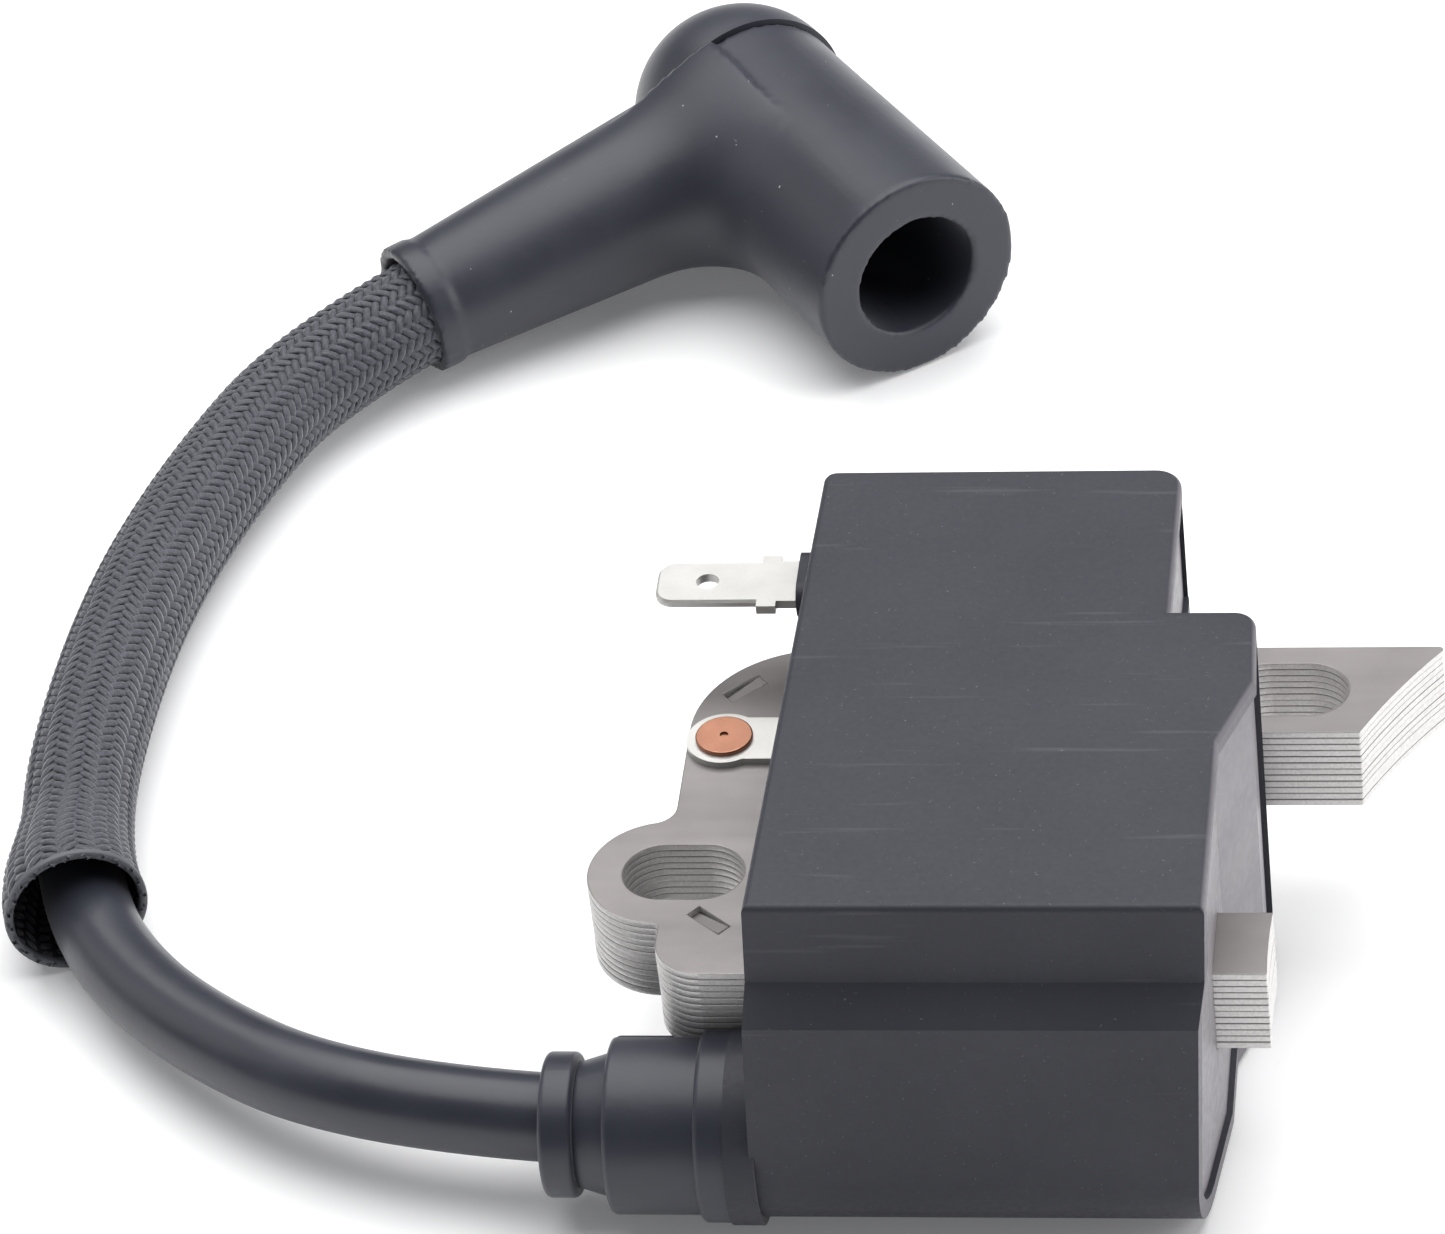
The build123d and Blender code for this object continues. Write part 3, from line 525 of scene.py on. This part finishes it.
def make_stack_group():
    tree = bpy.data.node_groups.new("stack", "GeometryNodeTree")
    tree.interface.new_socket("Geometry", in_out="OUTPUT", socket_type="NodeSocketGeometry")
    group_input(tree, "Geometry", "NodeSocketGeometry")
    group_input(tree, "Plates", "NodeSocketInt", PLATES)
    group_input(tree, "Pitch", "NodeSocketFloat", PLATE)
    group_input(tree, "Play", "NodeSocketFloat", 0.035 * MM)
    group_input(tree, "Finish", "NodeSocketMaterial")
    link = tree.links.new
    given = tree.nodes.new("NodeGroupInput").outputs
    out = tree.nodes.new("NodeGroupOutput")
    line = tree.nodes.new("GeometryNodeMeshLine")
    link(given["Plates"], line.inputs["Count"])
    step = tree.nodes.new("ShaderNodeCombineXYZ")
    link(given["Pitch"], step.inputs["Z"])
    link(step.outputs[0], line.inputs["Offset"])
    jitter = tree.nodes.new("FunctionNodeRandomValue")
    jitter.data_type = "FLOAT_VECTOR"
    jitter.inputs["Min"].default_value = (-1, -1, 0)
    jitter.inputs["Max"].default_value = (1, 1, 0)
    jitter.inputs["Seed"].default_value = 7
    shift = tree.nodes.new("GeometryNodeSetPosition")
    link(line.outputs[0], shift.inputs["Geometry"])
    link(
        vector_node(tree, "SCALE", jitter.outputs["Value"], scale=given["Play"]),
        shift.inputs["Offset"],
    )
    copies = tree.nodes.new("GeometryNodeInstanceOnPoints")
    link(shift.outputs[0], copies.inputs["Points"])
    link(given["Geometry"], copies.inputs["Instance"])
    realize = tree.nodes.new("GeometryNodeRealizeInstances")
    link(copies.outputs[0], realize.inputs[0])
    finish = tree.nodes.new("GeometryNodeSetMaterial")
    link(realize.outputs[0], finish.inputs["Geometry"])
    link(given["Finish"], finish.inputs["Material"])
    link(finish.outputs[0], out.inputs[0])
    return tree


plate = tidy_copy("lamination_01", "plate")
punched = plate.modifiers.new("punched_edge", "BEVEL")
punched.width = 0.1 * MM
punched.segments = 2
punched.limit_method = "ANGLE"
punched.angle_limit = math.radians(40)
core_stack = run_group(plate, make_stack_group(), {"Finish": core_finish}, "core_stack")

plate_slot = core_stack.data.polygons[0].material_index
ramps = bmesh.new()
ramps.from_mesh(core_stack.data)
for ramp_x, ramp_y, ramp_turn in RAMPS:
    turn = Matrix.Rotation(math.radians(ramp_turn), 3, "Z")
    corners = []
    for end, depth in RAMP_ENDS:
        for edge in RAMP_SIDES:
            for below in (depth, depth + RAMP_THICKNESS):
                spot = turn @ Vector((end, edge, 0)) * MM + Vector((ramp_x, ramp_y, 0)) * MM
                corners.append(ramps.verts.new((spot.x, spot.y, CORE_TOP - below * MM)))
    for loop in ((0, 2, 6, 4), (1, 5, 7, 3), (0, 4, 5, 1), (2, 3, 7, 6), (0, 1, 3, 2), (4, 6, 7, 5)):
        side = ramps.faces.new([corners[i] for i in loop])
        side.material_index = plate_slot
bmesh.ops.recalc_face_normals(ramps, faces=ramps.faces)
ramps.to_mesh(core_stack.data)
ramps.free()
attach(core_stack, "coil")
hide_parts(*[name for name in nodes if name.startswith("lamination")])
print("core:", len(core_stack.data.polygons), "faces")

# %% [markdown]
# ## The plug boot
# A moulded elbow has no sharp inside corner: the arm flows into the barrel. The engineering
# boot is remeshed finely, then every outside point near the corner is pushed out to where a
# smooth blend of the two shapes would put it. The blend is the smooth minimum used for soft
# shapes: two distances, rounded off where they meet.

# %% Soften the elbow
ELBOW = np.array([-0.0315905, 0.111332, 0.0101838])
ARM = -np.array([0.812569, 0.574246, 0.099869])
BORE = np.array([0.577131, -0.816652, 0.0])
BLEND = 6.5 * MM
BARREL_RADIUS = 9.9 * MM
ARM_ROOT = 8.6
ARM_TAPER = 2.7
ARM_REACH = 35.6 * MM
TABLE_GAP = 0.08 * MM


def elbow_distances(points):
    """Distances from the outsides of the barrel and the arm, and how far along each."""
    rel = points - ELBOW
    bore_along = rel @ BORE
    barrel = np.linalg.norm(rel - bore_along[:, None] * BORE, axis=1) - BARREL_RADIUS
    arm_along = rel @ ARM
    arm_radius = (ARM_ROOT - ARM_TAPER * np.clip(arm_along / ARM_REACH, 0, 1)) * MM
    arm = np.linalg.norm(rel - arm_along[:, None] * ARM, axis=1) - arm_radius
    return barrel, arm, bore_along, arm_along


def blended(points):
    barrel, arm, _, _ = elbow_distances(points)
    near = np.clip(BLEND - np.abs(barrel - arm), 0, None) / BLEND
    return np.minimum(barrel, arm) - near * near * BLEND / 4


plug_boot = tidy_copy("plug_boot", "soft_boot")
remesh = plug_boot.modifiers.new("remesh", "REMESH")
remesh.mode = "VOXEL"
remesh.voxel_size = 0.34 * MM
evaluated = plug_boot.evaluated_get(bpy.context.evaluated_depsgraph_get())
boot_mesh = bpy.data.meshes.new_from_object(evaluated)
plug_boot.modifiers.clear()
plug_boot.data = boot_mesh
coords = np.empty(len(boot_mesh.vertices) * 3)
boot_mesh.vertices.foreach_get("co", coords)
coords = coords.reshape(-1, 3)
barrel, arm, bore_along, arm_along = elbow_distances(coords)
outside = (barrel > -1.2 * MM) & (arm > -1.2 * MM) & (arm_along > 2 * MM)
outside &= (np.abs(barrel - arm) < BLEND) & (bore_along > -3.0 * MM) & (bore_along < 25 * MM)
moving = coords[outside]
for _ in range(6):
    here = blended(moving)
    slope = np.stack(
        [(blended(moving + step) - here) / (0.01 * MM) for step in np.eye(3) * 0.01 * MM], 1
    )
    moving = moving - here[:, None] * slope / np.maximum((slope**2).sum(1), 0.2)[:, None]
moving[:, 2] = np.maximum(moving[:, 2], TABLE_GAP)
coords[outside] = moving
boot_mesh.vertices.foreach_set("co", coords.ravel())
boot_mesh.update()
relax = plug_boot.modifiers.new("relax", "SMOOTH")
relax.factor = 0.5
relax.iterations = 4
evaluated = plug_boot.evaluated_get(bpy.context.evaluated_depsgraph_get())
boot_mesh = bpy.data.meshes.new_from_object(evaluated)
plug_boot.modifiers.clear()
plug_boot.data = boot_mesh
boot_mesh.shade_smooth()
boot_mesh.materials.clear()
boot_mesh.materials.append(boot_rubber)
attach(plug_boot, "boot")
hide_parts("plug_boot")
print("boot:", len(boot_mesh.polygons), "faces, moved", int(outside.sum()))

# %% [markdown]
# ## The high-tension lead
# The lead is one length of stiff 7 mm cable. A NURBS curve is the natural tool: it glides near
# its control points without kinks, as stiff cable does. The control points repeat the route of
# the engineering model. The order is set to 3 only after the points are there, because a spline
# with too few points would fall back to straight runs.

# %% Lead
LEAD_DIAMETER = 7.2 * MM
LEAD_ROUTE = [
    (-0.0180, -0.0210, 0.0079),
    (-0.0486, -0.0210, 0.0079),
    (-0.0736, -0.0032, 0.0049),
    (-0.0824, 0.0162, 0.0050),
    (-0.0824, 0.0430, 0.00495),
    (-0.0782, 0.0640, 0.0050),
    (-0.0697, 0.0844, 0.0055),
    (-0.0518, 0.09705, 0.0077),
]


def route_curve(name, points):
    """An open NURBS curve of order 3 through the air near the given points."""
    data = bpy.data.curves.new(name, "CURVE")
    data.dimensions = "3D"
    data.resolution_u = 24
    spline = data.splines.new("NURBS")
    spline.points.add(len(points) - 1)
    for control, place in zip(spline.points, points):
        control.co = (*place, 1)
    spline.order_u = 3
    spline.use_endpoint_u = True
    curve = bpy.data.objects.new(name, data)
    bpy.context.scene.collection.objects.link(curve)
    return curve


def line_of(curve):
    """The points of a curve's own centre line, as an array."""
    evaluated = curve.evaluated_get(bpy.context.evaluated_depsgraph_get())
    line = bpy.data.meshes.new_from_object(evaluated)
    points = np.array([vertex.co[:] for vertex in line.vertices])
    bpy.data.meshes.remove(line)
    return points


ht_lead = route_curve("lead_cable", LEAD_ROUTE)
lead_line = line_of(ht_lead)
lead_steps = np.linalg.norm(np.diff(lead_line, axis=0), axis=1)
LEAD_LENGTH = float(lead_steps.sum())
ht_lead.data.bevel_depth = LEAD_DIAMETER / 2
ht_lead.data.bevel_resolution = 8
ht_lead.data.use_fill_caps = True
ht_lead.data.materials.append(lead_jacket)
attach(ht_lead, "coil")
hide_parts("ht_lead")
print("lead length %.1f mm in %d points" % (LEAD_LENGTH / MM, len(lead_line)))

# %% [markdown]
# ## The braided sleeve
# Twenty-four yarns run round the lead one way and twenty-four the other, each passing over two
# and under two. That rule is one line of maths: where yarn number k is on its way round, its
# height is a cosine of how many yarns it has crossed, with four crossings to a wave. Geometry
# Nodes copies one straight yarn forty-eight times and lays each copy on the lead's own line. The
# open end flares a little, because a cut braid always springs open.

# %% [markdown]
# Yarn is neither plastic nor metal: it is dull, slightly fuzzy, and a touch lighter on the crowns,
# where it rubs. Sheen gives the fuzz and a fine noise the filaments.

# %% Yarn and liner finishes
def make_yarn_finish():
    material, tree, shader = start_material("braid_yarn", (0.06, 0.066, 0.075), 0.6)
    shader.inputs["Sheen Weight"].default_value = 0.35
    shader.inputs["Sheen Roughness"].default_value = 0.4
    slow = add_noise(tree, 5, 3)
    filaments = add_noise(tree, 0.22, 4)
    tree.links.new(
        blend_colors(tree, filaments, (0.030, 0.032, 0.042), (0.085, 0.088, 0.108)),
        shader.inputs["Base Color"],
    )
    tree.links.new(vary_number(tree, slow, 0.5, 0.66), shader.inputs["Roughness"])
    add_bump(tree, shader, filaments, 0.03)
    return material


yarn_finish = make_yarn_finish()
# A dark finish for the sheet under the braid: painted shade for the inside of the sleeve.
painted_shade_finish = make_plastic_finish("painted_shade_sleeve", (0.02, 0.021, 0.024), 0.8)

# %% The line that the sleeve follows
SLEEVE_LENGTH = 92.0 * MM
FLARE = 1.2 * MM
FLARE_SHIFT = (-1.0, -0.3, 0.95)
FLARE_SHARE = 0.15
LAY_LENGTH = 25.0 * MM
PAINTED_SHADE_RADIUS = 4.28 * MM
HEM_STEPS = (0.45, 0.05, -0.05, -0.05, 0.05, 0.45)
HEM_RADII = (4.86, 4.86, 4.78, 4.24, 4.16, 4.16)
SLEEVE_END = np.array([-0.05914, 0.09187, 0.00680])
lead_reach = np.concatenate([[0.0], np.cumsum(lead_steps)])
end_at = lead_reach[np.argmin(np.linalg.norm(lead_line - SLEEVE_END, axis=1))]
marks = np.linspace(end_at - SLEEVE_LENGTH, end_at, 160)
sleeve_line = np.stack([np.interp(marks, lead_reach, lead_line[:, i]) for i in range(3)], 1)
sleeve_data = bpy.data.curves.new("sleeve_line", "CURVE")
sleeve_data.dimensions = "3D"
sleeve_spline = sleeve_data.splines.new("POLY")
sleeve_spline.points.add(len(sleeve_line) - 1)
for point, place in zip(sleeve_spline.points, sleeve_line):
    point.co = (*place, 1)
sleeve_host = bpy.data.objects.new("sleeve_line", sleeve_data)
bpy.context.scene.collection.objects.link(sleeve_host)
print("sleeve starts at", sleeve_line[0], "and ends at", sleeve_line[-1])

# %% The braid as a node group
def make_braid_group():
    tree = bpy.data.node_groups.new("braid", "GeometryNodeTree")
    tree.interface.new_socket("Geometry", in_out="OUTPUT", socket_type="NodeSocketGeometry")
    group_input(tree, "Geometry", "NodeSocketGeometry")
    group_input(tree, "Yarns each way", "NodeSocketInt", 24)
    group_input(tree, "Turns", "NodeSocketFloat", 3.7)
    group_input(tree, "Radius", "NodeSocketFloat", 4.5 * MM)
    group_input(tree, "Weave height", "NodeSocketFloat", 0.16 * MM)
    group_input(tree, "Flare", "NodeSocketFloat", FLARE)
    group_input(tree, "Flare share", "NodeSocketFloat", FLARE_SHARE)
    group_input(tree, "Yarn width", "NodeSocketFloat", 0.78 * MM)
    group_input(tree, "Yarn thickness", "NodeSocketFloat", 0.36 * MM)
    group_input(tree, "Samples", "NodeSocketInt", 330)
    group_input(tree, "Finish", "NodeSocketMaterial")
    link = tree.links.new
    given = tree.nodes.new("NodeGroupInput").outputs
    out = tree.nodes.new("NodeGroupOutput")

    straight = tree.nodes.new("GeometryNodeCurvePrimitiveLine")
    resample = tree.nodes.new("GeometryNodeResampleCurve")
    link(straight.outputs[0], resample.inputs["Curve"])
    link(given["Samples"], resample.inputs["Count"])
    yarns = given["Yarns each way"]
    points = tree.nodes.new("GeometryNodeMeshLine")
    link(math_node(tree, "MULTIPLY", yarns, 2.0), points.inputs["Count"])
    points.inputs["Offset"].default_value = (0, 0, 0)
    copies = tree.nodes.new("GeometryNodeInstanceOnPoints")
    link(points.outputs[0], copies.inputs["Points"])
    link(resample.outputs[0], copies.inputs["Instance"])
    number = tree.nodes.new("GeometryNodeStoreNamedAttribute")
    number.domain = "INSTANCE"
    number.data_type = "FLOAT"
    number.inputs["Name"].default_value = "yarn"
    link(copies.outputs[0], number.inputs["Geometry"])
    link(tree.nodes.new("GeometryNodeInputIndex").outputs[0], number.inputs["Value"])
    realize = tree.nodes.new("GeometryNodeRealizeInstances")
    link(number.outputs[0], realize.inputs[0])

    read = tree.nodes.new("GeometryNodeInputNamedAttribute")
    read.data_type = "FLOAT"
    read.inputs["Name"].default_value = "yarn"
    yarn = read.outputs["Attribute"]
    split = tree.nodes.new("ShaderNodeSeparateXYZ")
    link(tree.nodes.new("GeometryNodeInputPosition").outputs[0], split.inputs[0])
    along = split.outputs["Z"]
    back_way = math_node(tree, "GREATER_THAN", yarn, math_node(tree, "SUBTRACT", yarns, 0.5))
    way = math_node(tree, "SUBTRACT", 1.0, math_node(tree, "MULTIPLY", back_way, 2.0))
    own = math_node(tree, "MODULO", yarn, yarns)
    turned = math_node(
        tree, "MULTIPLY", way, math_node(tree, "MULTIPLY", along, given["Turns"])
    )
    round_share = math_node(tree, "ADD", math_node(tree, "DIVIDE", own, yarns), turned)
    angle = math_node(tree, "MULTIPLY", round_share, 2 * math.pi)
    crossed = math_node(
        tree, "MULTIPLY", math_node(tree, "ADD", own, math_node(tree, "MULTIPLY", turned, yarns)), 2.0
    )
    wave = math_node(
        tree,
        "COSINE",
        math_node(tree, "MULTIPLY", math_node(tree, "SUBTRACT", crossed, 0.5), math.pi / 2),
    )
    height = math_node(
        tree, "MULTIPLY", way, math_node(tree, "MULTIPLY", wave, given["Weave height"])
    )
    opened = tree.nodes.new("ShaderNodeMapRange")
    opened.interpolation_type = "SMOOTHSTEP"
    link(along, opened.inputs["Value"])
    link(given["Flare share"], opened.inputs["From Max"])
    opened.inputs["To Min"].default_value = 1.0
    opened.inputs["To Max"].default_value = 0.0
    flare = math_node(tree, "MULTIPLY", opened.outputs[0], given["Flare"])
    radius = math_node(
        tree, "ADD", math_node(tree, "ADD", given["Radius"], height), flare
    )

    centre = tree.nodes.new("GeometryNodeSampleCurve")
    centre.mode = "FACTOR"
    link(given["Geometry"], centre.inputs["Curves"])
    link(along, centre.inputs["Factor"])
    side = vector_node(tree, "CROSS_PRODUCT", centre.outputs["Tangent"], centre.outputs["Normal"])
    outwards = vector_node(
        tree,
        "ADD",
        vector_node(tree, "SCALE", centre.outputs["Normal"], scale=math_node(tree, "COSINE", angle)),
        vector_node(tree, "SCALE", side, scale=math_node(tree, "SINE", angle)),
    )
    spot = vector_node(
        tree,
        "ADD",
        centre.outputs["Position"],
        vector_node(tree, "SCALE", outwards, scale=radius),
    )
    lift = vector_node(tree, "SCALE", FLARE_SHIFT, scale=flare)
    place = tree.nodes.new("GeometryNodeSetPosition")
    link(realize.outputs[0], place.inputs["Geometry"])
    link(vector_node(tree, "ADD", spot, lift), place.inputs["Position"])
    lay_flat = tree.nodes.new("GeometryNodeSetCurveNormal")
    lay_flat.mode = "FREE"
    link(place.outputs[0], lay_flat.inputs["Curve"])
    kept = tree.nodes.new("GeometryNodeCaptureAttribute")
    kept.capture_items.new("VECTOR", "outwards")
    link(realize.outputs[0], kept.inputs["Geometry"])
    link(outwards, kept.inputs["outwards"])
    link(kept.outputs["Geometry"], place.inputs["Geometry"])
    link(kept.outputs["outwards"], lay_flat.inputs["Normal"])

    circle = tree.nodes.new("GeometryNodeCurvePrimitiveCircle")
    circle.inputs["Resolution"].default_value = 6
    circle.inputs["Radius"].default_value = 0.5
    flatten = tree.nodes.new("GeometryNodeTransform")
    link(circle.outputs[0], flatten.inputs["Geometry"])
    cross_section = tree.nodes.new("ShaderNodeCombineXYZ")
    link(given["Yarn thickness"], cross_section.inputs["X"])
    link(given["Yarn width"], cross_section.inputs["Y"])
    cross_section.inputs["Z"].default_value = 1.0
    link(cross_section.outputs[0], flatten.inputs["Scale"])
    skin = tree.nodes.new("GeometryNodeCurveToMesh")
    link(lay_flat.outputs[0], skin.inputs["Curve"])
    link(flatten.outputs[0], skin.inputs["Profile Curve"])
    smooth = tree.nodes.new("GeometryNodeSetShadeSmooth")
    link(skin.outputs[0], smooth.inputs["Geometry"])
    finish = tree.nodes.new("GeometryNodeSetMaterial")
    link(smooth.outputs[0], finish.inputs["Geometry"])
    link(given["Finish"], finish.inputs["Material"])
    link(finish.outputs[0], out.inputs[0])
    return tree


braided_sleeve = run_group(
    sleeve_host,
    make_braid_group(),
    {"Turns": SLEEVE_LENGTH / LAY_LENGTH, "Finish": yarn_finish},
    "braided_yarns",
)
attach(braided_sleeve, "coil")
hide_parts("braided_sleeve")
print("braid:", len(braided_sleeve.data.polygons), "faces")

# %% [markdown]
# Behind the yarns is a dark sheet, painted shade standing in for the shadow inside the braid, so that
# no daylight shows between them, and the cut end is sealed into a thin, paler hem, as a hot knife leaves it.

# %% The painted shade sleeve and the hem
def skin_along(name, line, radii, sides, material, heading=None):
    """An open tube of changing radius along a line of points, or along one heading."""
    line = np.asarray(line)
    tangents = np.gradient(line, axis=0) if heading is None else np.tile(heading, (len(line), 1))
    tangents /= np.linalg.norm(tangents, axis=1)[:, None]
    first = np.cross(tangents, np.array([0.0, 0.0, 1.0]))
    first /= np.linalg.norm(first, axis=1)[:, None]
    second = np.cross(tangents, first)
    turn = np.linspace(0, 2 * np.pi, sides, endpoint=False)
    rings = (
        line[:, None, :]
        + np.asarray(radii)[:, None, None]
        * (np.cos(turn)[None, :, None] * first[:, None, :] + np.sin(turn)[None, :, None] * second[:, None, :])
    )
    count = len(line)
    faces = [
        (i * sides + j, i * sides + (j + 1) % sides, (i + 1) * sides + (j + 1) % sides, (i + 1) * sides + j)
        for i in range(count - 1)
        for j in range(sides)
    ]
    mesh = bpy.data.meshes.new(name)
    mesh.from_pydata(rings.reshape(-1, 3).tolist(), [], faces)
    mesh.shade_smooth()
    mesh.materials.append(material)
    made = bpy.data.objects.new(name, mesh)
    bpy.context.scene.collection.objects.link(made)
    return made


share = np.clip(np.linspace(0, 1, len(sleeve_line)) / FLARE_SHARE, 0, 1)
opening = FLARE * (1 - share * share * (3 - 2 * share))
open_line = sleeve_line + opening[:, None] * np.array(FLARE_SHIFT)
# Painted shade: a dark tube under the yarns stands in for the shadow inside the braid.
painted_shade_sleeve = skin_along(
    "painted_shade_sleeve", open_line, PAINTED_SHADE_RADIUS + opening, 48, painted_shade_finish
)
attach(painted_shade_sleeve, "coil")

hem_finish = make_plastic_finish("sleeve_hem", (0.11, 0.113, 0.128), 0.55)
inwards = open_line[1] - open_line[0]
inwards /= np.linalg.norm(inwards)
hem_line = [open_line[0] + inwards * step * MM for step in HEM_STEPS]
hem_radii = np.array(HEM_RADII) * MM + opening[0]
sleeve_hem = skin_along("sleeve_hem", hem_line, hem_radii, 64, hem_finish, inwards)
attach(sleeve_hem, "coil")
print("liner:", len(painted_shade_sleeve.data.polygons), "faces")
